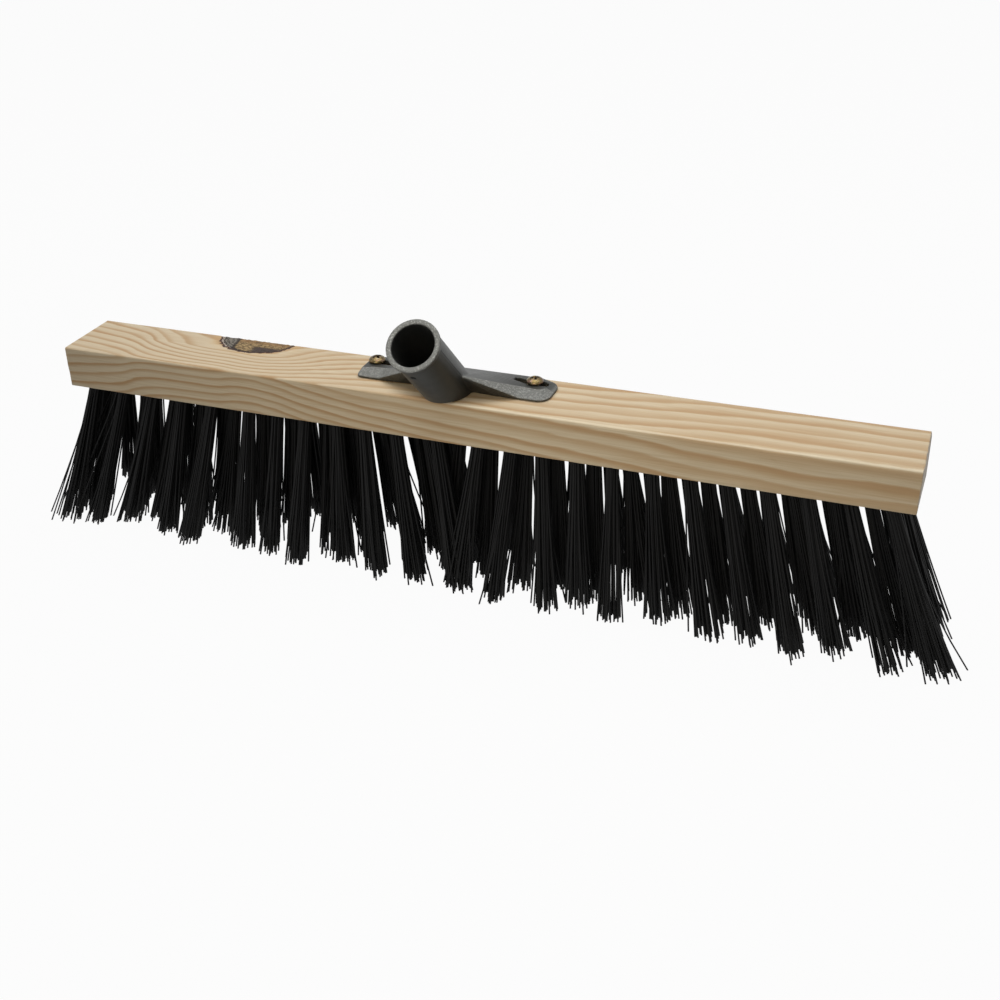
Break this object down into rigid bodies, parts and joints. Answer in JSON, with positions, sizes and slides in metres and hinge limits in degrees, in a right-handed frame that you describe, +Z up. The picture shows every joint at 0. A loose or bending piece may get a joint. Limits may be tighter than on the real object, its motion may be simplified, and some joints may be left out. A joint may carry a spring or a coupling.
{
  "type": "push broom head",
  "caption": "Push broom head: a straight softwood block with rows of stiff dark bristle tufts below and a cast claw with a leaning handle socket screwed on top.",
  "frame": {"origin": "the middle of the head's box on the floor, where the longest bristle tips stand", "axes": "+X along the block, -Y to the side that the handle socket leans to, +Z up"},
  "size_m": [0.554, 0.0932, 0.1738],
  "materials": {
    "pine": "planed softwood, unvarnished, with growth lines along the block and one knot on top",
    "bristle": "near-black stiff synthetic filament with a faint gloss",
    "cast_aluminium": "dark grey as-cast metal, grainy at its edges and rim, smoother on the raised lands",
    "yellow_zinc": "yellow passivated zinc plate"
  },
  "bodies": {
    "root": {"block": "pine", "claw": "cast_aluminium", "screw_left": "yellow_zinc", "screw_right": "yellow_zinc", "tuft_bank_left_01": "bristle", "tuft_bank_left_02": "bristle", "tuft_bank_left_03": "bristle", "tuft_bank_left_04": "bristle", "tuft_bank_left_05": "bristle", "tuft_bank_left_06": "bristle", "tuft_bank_left_07": "bristle", "tuft_bank_left_08": "bristle", "tuft_bank_left_09": "bristle", "tuft_bank_left_10": "bristle", "tuft_bank_left_11": "bristle", "tuft_bank_left_12": "bristle", "tuft_bank_right_01": "bristle", "tuft_bank_right_02": "bristle", "tuft_bank_right_03": "bristle", "tuft_bank_right_04": "bristle", "tuft_bank_right_05": "bristle", "tuft_bank_right_06": "bristle", "tuft_bank_right_07": "bristle", "tuft_bank_right_08": "bristle", "tuft_bank_right_09": "bristle", "tuft_bank_right_10": "bristle", "tuft_bank_right_11": "bristle", "tuft_bank_right_12": "bristle"}
  },
  "joints": []
}
